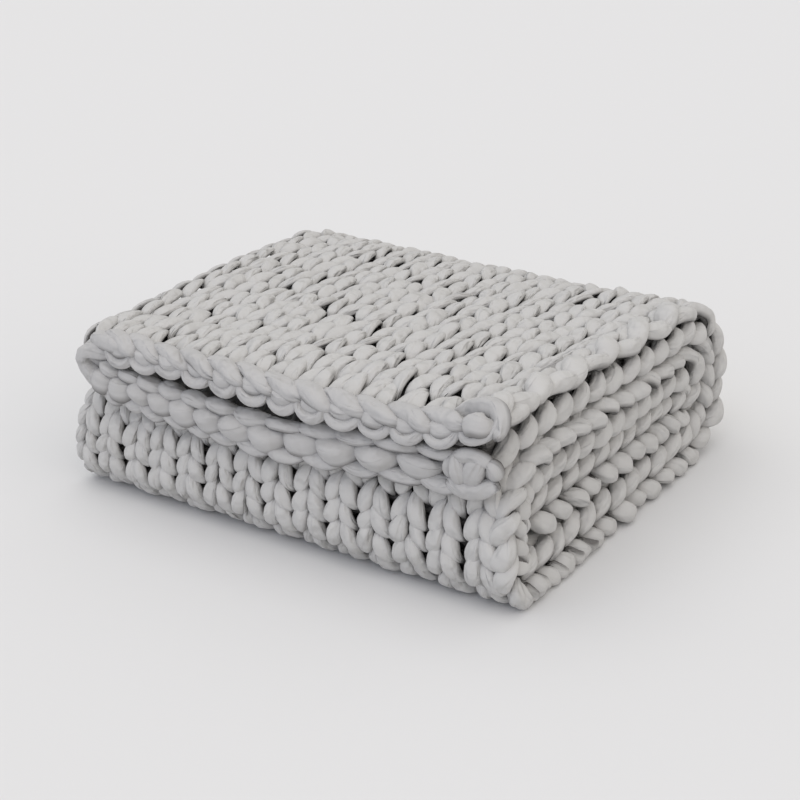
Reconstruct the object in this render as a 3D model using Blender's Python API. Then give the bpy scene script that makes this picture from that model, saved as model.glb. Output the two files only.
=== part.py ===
"""A chunky knitted weighted blanket, doubled lengthwise and then folded over and over on a surface.

Metres, +Z up. X runs along the front edge: the lengthwise fold is at -X, both selvedges at +X.
The cut edges of the cloth lie at the front, -Y, and in the middle of the folds.
The cloth's section is a doubled layer, two halves thick, that closes round the lengthwise fold.
It is drawn out, station by station, along the path on which the blanket was folded: back over
the top, down behind, forward underneath, up round the front, back and round once more inside.
"""

import math
from typing import NamedTuple

import bmesh
import bpy
import numpy as np

# Overall sizes of the folded blanket.
WIDTH = 0.530
DEPTH = 0.500

# The doubled cloth.
CLOTH = 0.0490  # two knitted halves, one on the other
SLIT = 0.0015  # air between the two halves
LAYER_GAP = 0.0030  # air between one doubled layer and the next
FOLD_GAP = 0.0035  # air between the back fold and the one inside it
END_DROP = 0.0225  # how far the top's front end hangs down
END_ROUND = 0.0120  # how far in from a free end the cloth begins to round off
END_PLUMP = 0.78  # the cloth's thickness at a free end, against its full thickness

HALF = (CLOTH - SLIT) / 2
LEVELS = [CLOTH / 2 + index * (CLOTH + LAYER_GAP) for index in range(4)]
BOTTOM_LEVEL, INNER_LEVEL, MIDDLE_LEVEL, TOP_LEVEL = LEVELS

FRONT = -DEPTH / 2 + CLOTH / 2  # middle of the cloth where it rounds the front
BACK = DEPTH / 2 - CLOTH / 2  # middle of the cloth where it rounds the back
INNER_BACK = BACK - CLOTH - FOLD_GAP  # the fold that lies inside the back one

# Fineness of the facets.
RUN_STEP = 0.090  # along straight stretches of the path
SHORT_RUN = 0.004  # a straight stretch shorter than this is left to the bends beside it
ARC_STEP = math.radians(22.5)  # round its bends
ACROSS_PARTS = 4  # across each half
NOSE_PARTS = 4  # round each selvedge
FOLD_PARTS = 4  # round the lengthwise fold
CREASE = math.radians(40)  # a sharper edge than this is drawn as an edge


class Corner(NamedTuple):
    """One corner of the folding path, and how far the cloth reaches to each side there."""

    place: str
    y: float
    z: float
    radius: float
    fold_in: float  # how far the lengthwise fold draws in from the left limit
    outer_in: float  # how far the outer half's selvedge draws in from the right limit
    inner_in: float  # the same for the inner half


PATH = (
    Corner("front end of the top", -0.2360, TOP_LEVEL - END_DROP, 0.000, 0.003, 0.022, 0.026),
    Corner("shoulder of the top", -0.1900, TOP_LEVEL, 0.080, 0.001, 0.016, 0.020),
    Corner("top of the back bend", BACK, TOP_LEVEL, 0.075, 0.010, 0.010, 0.007),
    Corner("foot of the back bend", BACK, BOTTOM_LEVEL, 0.060, 0.014, 0.000, 0.004),
    Corner("foot of the front bend", FRONT, BOTTOM_LEVEL, 0.045, 0.000, 0.004, 0.010),
    Corner("top of the front bend", FRONT, MIDDLE_LEVEL, 0.056, 0.002, 0.010, 0.016),
    Corner("top of the inner bend", INNER_BACK, MIDDLE_LEVEL, 0.026, 0.012, 0.006, 0.010),
    Corner("foot of the inner bend", INNER_BACK, INNER_LEVEL, 0.026, 0.014, 0.008, 0.012),
    Corner("inner end", -0.1700, INNER_LEVEL, 0.000, 0.008, 0.014, 0.018),
)


class Loft(NamedTuple):
    """How full the stack stands at one place across it, against its full height."""

    x: float
    front: float
    middle: float
    back: float


# The stack is fullest over the selvedges at the right front corner and lowest at the left.
LOFTS = (
    Loft(-WIDTH / 2, 0.930, 0.915, 0.880),
    Loft(0.000, 0.970, 0.935, 0.905),
    Loft(0.190, 0.990, 0.950, 0.920),
    Loft(WIDTH / 2, 1.045, 0.980, 0.935),
)

KNIT_COLOUR = (0.50, 0.50, 0.49, 1.0)
KNIT_ROUGHNESS = 0.85


class Step(NamedTuple):
    """One place along the path and the way the path heads there."""

    y: float
    z: float
    heading: float  # 0 towards the back, -90 degrees straight down


class Station(NamedTuple):
    """One place along the path, where the doubled section is set."""

    y: float
    z: float
    heading: float
    plump: float  # the cloth's thickness against its full thickness
    fold_in: float
    outer_in: float
    inner_in: float


def between(start, end, share):
    """Return the value that lies the given share of the way from start to end."""
    return start + (end - start) * share


def way(start, end):
    """Return the heading from one place of the path to another."""
    return math.atan2(end.z - start.z, end.y - start.y)


def apart(start, end):
    """Return the distance from one place of the path to another."""
    return math.hypot(end.y - start.y, end.z - start.z)


def bend_steps(previous, corner, following):
    """Return the steps round one corner, from its first tangent point to its last."""
    heading = way(previous, corner)
    turn = (way(corner, following) - heading + math.pi) % (2 * math.pi) - math.pi
    reach = corner.radius * math.tan(abs(turn) / 2)
    side = math.copysign(math.pi / 2, turn)
    centre_y = corner.y - reach * math.cos(heading) + corner.radius * math.cos(heading + side)
    centre_z = corner.z - reach * math.sin(heading) + corner.radius * math.sin(heading + side)
    parts = max(2, round(abs(turn) / ARC_STEP))
    steps = []
    for part in range(parts + 1):
        angle = between(heading, heading + turn, part / parts)
        y = centre_y - corner.radius * math.cos(angle + side)
        z = centre_z - corner.radius * math.sin(angle + side)
        steps.append(Step(y, z, angle))
    return steps


def run_steps(start, end):
    """Return the steps strictly between two others on one straight stretch."""
    parts = max(1, round(apart(start, end) / RUN_STEP))
    return [
        Step(
            between(start.y, end.y, part / parts),
            between(start.z, end.z, part / parts),
            way(start, end),
        )
        for part in range(1, parts)
    ]


def free_end_steps(end, neighbour):
    """Return the steps where the cloth begins to round off and where it ends, in that order."""
    share = END_ROUND / apart(end, neighbour)
    y = between(end.y, neighbour.y, share)
    z = between(end.z, neighbour.z, share)
    heading = way(end, neighbour) if end is PATH[0] else way(neighbour, end)
    return [Step(y, z, heading), Step(end.y, end.z, heading)]


def path_steps():
    """Return every step of the path, and the number of the middle step at each corner."""
    steps = free_end_steps(PATH[0], PATH[1])[::-1]
    middles = [0]
    for previous, corner, following in zip(PATH, PATH[1:], PATH[2:]):
        bend = bend_steps(previous, corner, following)
        steps += run_steps(steps[-1], bend[0])
        if apart(steps[-1], bend[0]) < SHORT_RUN:
            steps.pop()
        middles.append(len(steps) + len(bend) // 2)
        steps += bend
    last = free_end_steps(PATH[-1], PATH[-2])
    steps += run_steps(steps[-1], last[0]) + last
    middles.append(len(steps) - 1)
    return steps, middles


def path_stations():
    """Return every station of the folding path, from the top's front end inwards."""
    steps, middles = path_steps()
    travelled = [0.0]
    for start, end in zip(steps, steps[1:]):
        travelled.append(travelled[-1] + apart(start, end))
    corners_at = [travelled[number] for number in middles]
    insets = [
        np.interp(travelled, corners_at, [getattr(corner, side) for corner in PATH])
        for side in ("fold_in", "outer_in", "inner_in")
    ]
    plump = [END_PLUMP] + [1.0] * (len(steps) - 2) + [END_PLUMP]
    return [
        Station(*step, fullness, *map(float, sides))
        for step, fullness, sides in zip(steps, plump, zip(*insets))
    ]


def run_across(start_x, end_x, height):
    """Return evenly spaced points from one place across the cloth to another."""
    return [
        (between(start_x, end_x, part / ACROSS_PARTS), height)
        for part in range(ACROSS_PARTS + 1)
    ]


def arc(centre_x, centre_n, radius, start, parts):
    """Return the points inside a half turn about a centre, its two ends left out."""
    points = []
    for part in range(1, parts):
        angle = start + math.pi * part / parts
        points.append((centre_x + radius * math.cos(angle), centre_n + radius * math.sin(angle)))
    return points


def doubled_section(station):
    """Return the doubled cloth's section in named runs: x across it, n out from its middle."""
    nose_radius = HALF / 2
    nose_height = SLIT / 2 + nose_radius
    outer_x = WIDTH / 2 - station.outer_in - nose_radius
    inner_x = WIDTH / 2 - station.inner_in - nose_radius
    fold_x = -WIDTH / 2 + station.fold_in + CLOTH / 2
    slit_x = fold_x - nose_radius / 2
    return {
        "outer skin": run_across(outer_x, fold_x, CLOTH / 2),
        "outer lining": run_across(outer_x, slit_x, SLIT / 2),
        "inner skin": run_across(inner_x, fold_x, -CLOTH / 2),
        "inner lining": run_across(inner_x, slit_x, -SLIT / 2),
        "outer nose": arc(outer_x, nose_height, nose_radius, -math.pi / 2, NOSE_PARTS),
        "inner nose": arc(inner_x, -nose_height, nose_radius, -math.pi / 2, NOSE_PARTS),
        "fold": arc(fold_x, 0.0, CLOTH / 2, math.pi / 2, FOLD_PARTS),
    }


def section_cells(runs):
    """Return the cells of the doubled section as loops of places in its runs."""
    cells = []
    for half in ("outer", "inner"):
        skin = [(half + " skin", part) for part in range(ACROSS_PARTS + 1)]
        lining = [(half + " lining", part) for part in range(ACROSS_PARTS + 1)]
        round_nose = [(half + " nose", part) for part in range(NOSE_PARTS - 1)]
        for part in range(ACROSS_PARTS):
            cells.append([skin[part], skin[part + 1], lining[part + 1], lining[part]])
        low, high = (lining[0], skin[0]) if half == "outer" else (skin[0], lining[0])
        cells.append([low, *round_nose, high])
    bend = [("fold", part) for part in range(len(runs["fold"]))]
    cells.append(
        [
            ("outer skin", ACROSS_PARTS),
            *bend,
            ("inner skin", ACROSS_PARTS),
            ("inner lining", ACROSS_PARTS),
            ("outer lining", ACROSS_PARTS),
        ]
    )
    return cells


def loft_at(x, y):
    """Return how full the stack stands over one spot of the surface."""
    x = min(max(x, LOFTS[0].x), LOFTS[-1].x)
    for near, far in zip(LOFTS, LOFTS[1:]):
        if x <= far.x:
            break
    share = (x - near.x) / (far.x - near.x)
    share = share * share * (3 - 2 * share)
    front = between(near.front, far.front, share)
    middle = between(near.middle, far.middle, share)
    back = between(near.back, far.back, share)
    reach = min(abs(y) / (DEPTH / 2), 1.0)
    return between(middle, front if y < 0 else back, reach)


def place(station, x, n):
    """Return the world position of a point of the section at one station."""
    y = station.y - n * station.plump * math.sin(station.heading)
    z = station.z + n * station.plump * math.cos(station.heading)
    return (x, y, z * loft_at(x, y))


def draw_out_cloth(stations):
    """Return the closed mesh of the cloth, its section drawn out along the stations."""
    shape = bmesh.new()
    mark = shape.verts.layers.int.new("section point")
    runs = doubled_section(stations[0])
    names = [(run, index) for run, points in runs.items() for index in range(len(points))]
    corners = {}
    for number, (run, index) in enumerate(names):
        corners[run, index] = shape.verts.new(place(stations[0], *runs[run][index]))
        corners[run, index][mark] = number
    for cell in section_cells(runs):
        shape.faces.new([corners[name] for name in cell])
    end = shape.faces[:] + shape.edges[:] + shape.verts[:]
    for station in stations[1:]:
        end = bmesh.ops.extrude_face_region(shape, geom=end)["geom"]
        runs = doubled_section(station)
        for vert in (item for item in end if isinstance(item, bmesh.types.BMVert)):
            run, index = names[vert[mark]]
            vert.co = place(station, *runs[run][index])
    bmesh.ops.triangulate(shape, faces=shape.faces[:])
    bmesh.ops.recalc_face_normals(shape, faces=shape.faces[:])
    mesh = bpy.data.meshes.new("blanket")
    shape.to_mesh(mesh)
    shape.free()
    return mesh


def knit_material():
    """Return the pale grey cotton of the knitted cloth."""
    material = bpy.data.materials.new("pale grey cotton knit")
    material.use_nodes = True
    shader = material.node_tree.nodes["Principled BSDF"]
    shader.inputs["Base Color"].default_value = KNIT_COLOUR
    shader.inputs["Roughness"].default_value = KNIT_ROUGHNESS
    shader.inputs["Metallic"].default_value = 0.0
    return material


def build_blanket():
    """Add the folded blanket to the scene as one object."""
    mesh = draw_out_cloth(path_stations())
    mesh.shade_smooth()
    mesh.set_sharp_from_angle(angle=CREASE)
    mesh.materials.append(knit_material())
    blanket = bpy.data.objects.new("blanket", mesh)
    bpy.context.collection.objects.link(blanket)


def main():
    """Clear the scene and build the blanket."""
    for item in list(bpy.data.objects):
        bpy.data.objects.remove(item, do_unlink=True)
    build_blanket()


main()
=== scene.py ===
"""The knitted blanket's yarn, stitch by stitch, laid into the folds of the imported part.

Every stitch and edge loop is a strand: a line of rings given in the cloth's own places (which
wale, which row, how far out towards the knit face). The folded cloth turns those places into
metres in the row frame, and the yarn's thickness is added there, so that it stays round.

A wale is a column of stitches. The wales are counted from the inner half's selvedge, over the
lengthwise fold, to the outer half's selvedge. The rows are counted from the bound-off edge at
the front of the top, along the whole folding path, to the inner end. Lengths are in metres.
"""

import logging
import math
from dataclasses import dataclass, field
from enum import Enum
from typing import NamedTuple

import bmesh
import bpy
import numpy as np
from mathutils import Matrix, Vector

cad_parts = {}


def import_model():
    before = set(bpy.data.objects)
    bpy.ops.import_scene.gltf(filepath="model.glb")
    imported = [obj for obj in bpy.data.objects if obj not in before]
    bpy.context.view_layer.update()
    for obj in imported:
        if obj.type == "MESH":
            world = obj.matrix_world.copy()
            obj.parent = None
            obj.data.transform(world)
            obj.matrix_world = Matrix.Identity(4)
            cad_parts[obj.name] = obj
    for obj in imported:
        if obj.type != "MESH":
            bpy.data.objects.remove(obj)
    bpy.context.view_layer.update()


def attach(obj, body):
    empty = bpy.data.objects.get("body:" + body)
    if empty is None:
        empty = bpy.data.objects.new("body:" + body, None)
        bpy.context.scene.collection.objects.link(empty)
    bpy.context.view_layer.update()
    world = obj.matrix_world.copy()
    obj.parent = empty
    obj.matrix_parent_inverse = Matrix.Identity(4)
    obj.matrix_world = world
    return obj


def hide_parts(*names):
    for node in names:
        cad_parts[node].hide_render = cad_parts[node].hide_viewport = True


logging.basicConfig(level=logging.INFO, format="%(message)s")
LOG = logging.getLogger("blanket")

Array = np.ndarray


def smooth(share: Array) -> Array:
    """Ease a share from 0 to 1, so that it starts and ends level."""
    return share * share * (3 - 2 * share)


def unit(vectors: Array) -> Array:
    """Return vectors of length one along the last axis."""
    return vectors / np.maximum(np.linalg.norm(vectors, axis=-1, keepdims=True), 1e-9)


# ----------------------------------------------------------------------------- the folded cloth


class Corner(NamedTuple):
    """One corner of the path along which the doubled cloth is folded."""

    place: str
    y: float
    z: float
    radius: float
    fold_in: float  # how far short of the full width the lengthwise fold stops there
    outer_in: float  # how far short the outer half's selvedge stops
    inner_in: float  # how far short the inner half's selvedge stops


class Loft(NamedTuple):
    """How full the stack stands at one place across it, as a share of its full height."""

    x: float
    front: float
    middle: float
    back: float


class RowPitch(NamedTuple):
    """The spacing of the rows at one distance along the path."""

    travel: float
    pitch: float


class Spread(NamedTuple):
    """How far each half parts from the other at one distance along the path."""

    travel: float
    outer: float
    inner: float


class Lift(NamedTuple):
    """How far each half's front edge lies above an even course, at one place across it."""

    x: float
    outer: float
    inner: float


CLOTH = 0.0490  # the doubled cloth's thickness
LAYER_GAP = 0.0030  # from one doubled layer to the next above it
BEND_GAP = 0.0035  # from the inner bend to the back bend round it
WIDTH = 0.530
DEPTH = 0.500
LEVELS = [CLOTH / 2 + index * (CLOTH + LAYER_GAP) for index in range(4)]  # the layers' middles
FRONT = -0.2170  # where the cloth's middle turns at the front
BACK = 0.2220  # where it turns at the back
INNER_BACK = BACK - CLOTH - BEND_GAP
WALES = 14  # in each half
LOOP_PITCH = 0.0375  # the wale's width that the loop's thickness is given for

# The folding path, from the front of the top to the inner end.
PATH = (
    Corner("front end of the top", -0.2330, LEVELS[3] - 0.0130, 0.000, 0.012, 0.022, 0.026),
    Corner("shoulder of the top", -0.1900, LEVELS[3], 0.080, 0.008, 0.022, 0.020),
    Corner("top of the back bend", BACK, LEVELS[3], 0.075, 0.001, 0.009, 0.006),
    Corner("foot of the back bend", BACK, LEVELS[0], 0.060, 0.014, 0.000, 0.005),
    Corner("foot of the front bend", FRONT - 0.003, LEVELS[0], 0.024, -0.016, 0.004, 0.008),
    Corner("top of the front bend", FRONT, LEVELS[2], 0.056, -0.003, 0.010, 0.016),
    Corner("top of the inner bend", INNER_BACK, LEVELS[2], 0.026, 0.012, 0.006, 0.010),
    Corner("foot of the inner bend", INNER_BACK, LEVELS[1], 0.026, 0.014, 0.008, 0.012),
    Corner("inner end", -0.1700, LEVELS[1], 0.000, 0.008, 0.014, 0.018),
)

# The stack slumps to the left and behind, and stands fullest at the right front corner.
LOFTS = (
    Loft(-WIDTH / 2, 0.898, 0.940, 0.884),
    Loft(0.000, 0.970, 0.932, 0.872),
    Loft(0.190, 0.990, 0.946, 0.888),
    Loft(WIDTH / 2, 1.045, 0.974, 0.905),
)

# The rows lie close together in the bends and further apart on the straights.
ROW_PITCHES = (
    RowPitch(0.000, 0.0335),
    RowPitch(0.360, 0.0330),
    RowPitch(0.450, 0.0280),
    RowPitch(0.600, 0.0290),
    RowPitch(0.660, 0.0330),
    RowPitch(0.920, 0.0310),
    RowPitch(0.985, 0.0205),
    RowPitch(1.110, 0.0205),
    RowPitch(1.180, 0.0310),
    RowPitch(1.440, 0.0310),
    RowPitch(1.480, 0.0230),
    RowPitch(1.540, 0.0230),
    RowPitch(1.600, 0.0320),
)

# The two edges gape a little where the doubled cloth ends at the front.
SPREADS = (
    Spread(-0.020, 0.004, 0.010),
    Spread(0.030, 0.003, 0.008),
    Spread(0.090, 0.000, 0.000),
)

# The edges rise at both ends and sag in between.
LIFTS = (
    Lift(-0.250, 0.014, 0.019),
    Lift(-0.120, 0.007, -0.003),
    Lift(0.000, -0.002, -0.011),
    Lift(0.150, -0.003, 0.002),
    Lift(0.240, 0.012, 0.006),
)


@dataclass
class FoldedCloth:
    """The doubled cloth along its path, and where each wale and row of it lies."""

    first_row: float = 0.021  # the first row's middle, in from the front end of the top
    middle: float = 0.0126  # from the doubled cloth's middle to the middle of each half
    overhang: float = 0.090  # how far past its ends the path is carried on, straight
    left_pitch: float = 0.0345  # a wale's width next to the lengthwise fold
    right_pitch: float = 0.0400  # a wale's width next to the selvedges
    selvedge: float = 0.010  # from the last wale's edge to the doubled cloth's edge
    last_lifted: float = 1.6  # the row at which the front edges' lifts have died away
    lifted_rows: float = 2.2  # how many rows that takes
    bend_step: float = 3.0  # how far the path turns from step to step, degrees
    least_steps: int = 8  # in each bend
    counting_steps: int = 4000  # along the path, to count the rows
    length: float = field(init=False)  # of the path
    rows: int = field(init=False)  # from the front of the top to the inner end
    travel: Array = field(init=False)  # distances along the path, one for each step
    course: Array = field(init=False)  # y, z, heading and the three ways in, for each step
    rows_at: Array = field(init=False)  # row numbers, and the distances at which they lie

    def __post_init__(self) -> None:
        """Walk the path once in small steps and count the rows along it."""
        steps, marks = self._walk()
        steps = np.array(steps)
        lengths = np.hypot(*np.diff(steps[:, :2], axis=0).T)
        travel = np.concatenate([[0.0], np.cumsum(lengths)])
        self.length = float(travel[-1])
        sides = [
            np.interp(travel, travel[marks], [getattr(corner, name) for corner in PATH])
            for name in ("fold_in", "outer_in", "inner_in")
        ]
        course = np.column_stack([steps, *sides])
        before, after = course[0].copy(), course[-1].copy()
        for end, sign in ((before, -1), (after, 1)):
            end[0] += sign * self.overhang * math.cos(end[2])
            end[1] += sign * self.overhang * math.sin(end[2])
        self.course = np.vstack([before, course, after])
        self.travel = np.concatenate([[-self.overhang], travel, [self.length + self.overhang]])
        fine = np.linspace(self.travel[0], self.travel[-1], self.counting_steps)
        pitch = np.interp(fine, *zip(*ROW_PITCHES))
        count = np.concatenate([[0.0], np.cumsum(np.diff(fine) * 2 / (pitch[1:] + pitch[:-1]))])
        count -= np.interp(self.first_row, fine, count)
        self.rows_at = np.vstack([count, fine])
        self.rows = int(np.interp(self.length - self.first_row, fine, count)) + 1

    def _walk(self) -> tuple[list[tuple[float, float, float]], list[int]]:
        """Follow the path's straights and bends.

        Returns:
            The steps as (y, z, heading), and the number of the middle step at each corner.
        """
        steps: list[tuple[float, float, float]] = []
        marks = [0]
        for before, corner, after in zip(PATH, PATH[1:], PATH[2:]):
            heading = math.atan2(corner.z - before.z, corner.y - before.y)
            ahead = math.atan2(after.z - corner.z, after.y - corner.y)
            turn = (ahead - heading + math.pi) % (2 * math.pi) - math.pi
            reach = corner.radius * math.tan(abs(turn) / 2)
            side = heading + math.copysign(math.pi / 2, turn)
            start_y = corner.y - reach * math.cos(heading)
            start_z = corner.z - reach * math.sin(heading)
            centre_y = start_y + corner.radius * math.cos(side)
            centre_z = start_z + corner.radius * math.sin(side)
            if not steps:
                steps.append((before.y, before.z, heading))
            parts = max(self.least_steps, round(abs(turn) / math.radians(self.bend_step)))
            marks.append(len(steps) + parts // 2)
            for part in range(parts + 1):
                swing = turn * part / parts
                steps.append(
                    (
                        centre_y - corner.radius * math.cos(side + swing),
                        centre_z - corner.radius * math.sin(side + swing),
                        heading + swing,
                    )
                )
        steps.append((PATH[-1].y, PATH[-1].z, steps[-1][2]))
        marks.append(len(steps) - 1)
        headings = np.unwrap([step[2] for step in steps])
        return [(y, z, turned) for (y, z, _), turned in zip(steps, headings)], marks

    @staticmethod
    def loft(x: Array, y: Array) -> Array:
        """How full the stack stands over each spot.

        Args:
            x: places across the stack, metres.
            y: places from front to back, metres.

        Returns:
            The height there against the full height.
        """
        at = np.clip(x, LOFTS[0].x, LOFTS[-1].x)
        knots = np.array(LOFTS)
        index = np.clip(np.searchsorted(knots[:, 0], at) - 1, 0, len(LOFTS) - 2)
        share = (at - knots[index, 0]) / (knots[index + 1, 0] - knots[index, 0])
        near, far = knots[index], knots[index + 1]
        fullness = near + (far - near) * smooth(share)[..., None]
        end = np.where(y < 0, fullness[..., 1], fullness[..., 3])
        reach = np.clip(np.abs(y) / (DEPTH / 2), 0, 1)
        return fullness[..., 2] + (end - fullness[..., 2]) * reach

    @staticmethod
    def by_half(outer: Array, at: Array, table: tuple[Spread, ...] | tuple[Lift, ...]) -> Array:
        """Read a table that has a column for each half of the doubled cloth.

        Args:
            outer: whether each spot is on the outer half.
            at: where each spot lies along the table's first column.
            table: the rows, with the outer half's column before the inner half's.

        Returns:
            The value at each spot.
        """
        places, outers, inners = np.array(table).T
        return np.where(outer, np.interp(at, places, outers), np.interp(at, places, inners))

    def world(self, wale: Array, row: Array, out: Array) -> Array:
        """Find where places of the cloth lie.

        Args:
            wale: 0 at the inner half's selvedge, 14 at the lengthwise fold, 28 at the outer's.
            row: 0 for the row next to the bound-off edge.
            out: metres from the half's middle towards its knit face.

        Returns:
            Points in the row frame, one more axis of length 3.
        """
        travel = np.interp(row, *self.rows_at)
        y, z, heading, fold_in, outer_in, inner_in = (
            np.interp(travel, self.travel, column) for column in self.course.T
        )
        outer = wale >= WALES
        sign = np.where(outer, 1.0, -1.0)
        steps = np.abs(wale - WALES)
        growth = (self.right_pitch - self.left_pitch) / (2 * WALES)
        whole = self.left_pitch * WALES + growth * WALES * WALES
        share = (self.left_pitch * steps + growth * steps * steps) / whole
        fold_x = -WIDTH / 2 + fold_in + CLOTH / 2
        quarter = self.middle * math.pi / 2
        side_in = np.where(outer, outer_in, inner_in) + self.selvedge
        across = share * (quarter + WIDTH / 2 - side_in - fold_x)
        angle = np.clip(across / self.middle, 0, math.pi / 2)
        x = fold_x - (self.middle + out) * np.cos(angle) + np.maximum(across - quarter, 0)
        spread = self.by_half(outer, travel, SPREADS)
        off = sign * (self.middle + out + spread) * np.sin(angle)
        y = y - off * np.sin(heading)
        z = (z + off * np.cos(heading)) * self.loft(x, y)
        near = np.clip((self.last_lifted - row) / self.lifted_rows, 0, 1)
        return np.stack([x, y, z + self.by_half(outer, x, LIFTS) * smooth(near)], axis=-1)


# ------------------------------------------------------------------------------------ the yarn


class Facing(Enum):
    """Which way of the cloth a strand's flat side turns to, as a small step that way."""

    ACROSS = (0.02, 0.0, 0.0)  # wales
    ALONG = (0.0, 0.02, 0.0)  # rows
    KNIT_FACE = (0.0, 0.0, 0.001)  # metres


class Bead(NamedTuple):
    """One ring of an edge loop."""

    past: float  # metres past the cloth's edge
    along: float  # wales along the bound-off edge, or rows along a selvedge
    out: float  # metres towards the knit face
    wide: float  # half its width, metres
    thick: float  # half its thickness, metres


class Curl(NamedTuple):
    """An edge loop that runs round an oval. Its places are a bead's past, along and out."""

    middle: tuple[float, float, float]
    level: tuple[float, float, float]  # from the middle to the oval at 0 degrees
    upright: tuple[float, float, float]  # from the middle to the oval at 90 degrees
    start: float  # degrees
    sweep: float  # degrees
    half: float  # half its thickness, metres
    thin: float = 0.35  # the share of that thickness that its ends keep

    def beads(self, parts: int = 8) -> tuple[Bead, ...]:
        """Ring the oval's stretch, thin at its ends and full in between.

        Args:
            parts: how many parts the stretch is split into.

        Returns:
            The rings from the stretch's start to its end.
        """
        rings = []
        for part in range(parts + 1):
            angle = math.radians(self.start + self.sweep * part / parts)
            fullness = math.sqrt(math.sin(math.pi * part / parts))
            half = self.half * (self.thin + (1 - self.thin) * fullness)
            place = (
                middle + level * math.cos(angle) + upright * math.sin(angle)
                for middle, level, upright in zip(self.middle, self.level, self.upright)
            )
            rings.append(Bead(*place, half, half))
        return tuple(rings)


@dataclass
class Strands:
    """Strands of equal length, as arrays of one row for each strand and one column a ring."""

    wale: Array
    row: Array
    out: Array
    wide: Array
    thick: Array
    facing: Facing = Facing.KNIT_FACE
    # deep and shaded set how much painted shade the material lays on each ring.
    deep: Array | float = 0.0  # how far each ring lies in the cloth's own shade, 0 to 1
    shaded: float = 0.0  # 1 where the side away from the facing is hidden, -1 the other way


def tube_faces(rings: int, sides: int) -> list[list[int]]:
    """Draw out one closed tube and list its faces by ring and side.

    Args:
        rings: how many rings the tube has from end to end.
        sides: how many corners each ring has.

    Returns:
        Each face as corner numbers, where corner k of ring i has the number i * sides + k,
        in the same order every time.
    """
    shape = bmesh.new()
    side = shape.verts.layers.int.new("side")
    bmesh.ops.create_circle(shape, cap_ends=True, segments=sides, radius=1.0)
    for number, vert in enumerate(shape.verts):
        vert[side] = number
    end = shape.faces[:] + shape.edges[:] + shape.verts[:]
    for _ in range(rings - 1):
        end = bmesh.ops.extrude_face_region(shape, geom=end)["geom"]
        moved = [item for item in end if isinstance(item, bmesh.types.BMVert)]
        bmesh.ops.translate(shape, verts=moved, vec=(0, 0, 1))
    bmesh.ops.recalc_face_normals(shape, faces=shape.faces[:])
    faces = [[round(v.co.z) * sides + v[side] for v in face.verts] for face in shape.faces]
    angles = {v[side]: math.atan2(v.co.y, v.co.x) for v in shape.verts}
    order = sorted(range(sides), key=lambda number: angles[number] % (2 * math.pi))
    place = {number: index for index, number in enumerate(order)}
    shape.free()
    return sorted([c // sides * sides + place[c % sides] for c in face] for face in faces)


@dataclass(frozen=True)
class Unevenness:
    """How much one length of the hand-stuffed yarn differs from the next."""

    stray: float = 0.0017  # how far its line strays, metres
    swell: float = 0.12  # how much its thickness differs
    twist: float = 0.60  # how far it is turned about its line, radians
    lumps: float = 0.08  # how uneven its filling is round it
    every: int = 4  # rings from one difference to the next

    def drift(self, source: np.random.Generator, strands: int, rings: int) -> Array:
        """Differences that change smoothly along the yarn.

        Args:
            source: where the random values come from.
            strands: how many strands there are.
            rings: how many rings each has.

        Returns:
            Values from -1 to 1, one row for each strand.
        """
        nodes = source.uniform(-1, 1, (strands, rings // self.every + 2))
        at = np.arange(rings) / self.every
        low = at.astype(int)
        return nodes[:, low] + (nodes[:, low + 1] - nodes[:, low]) * smooth(at - low)


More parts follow.
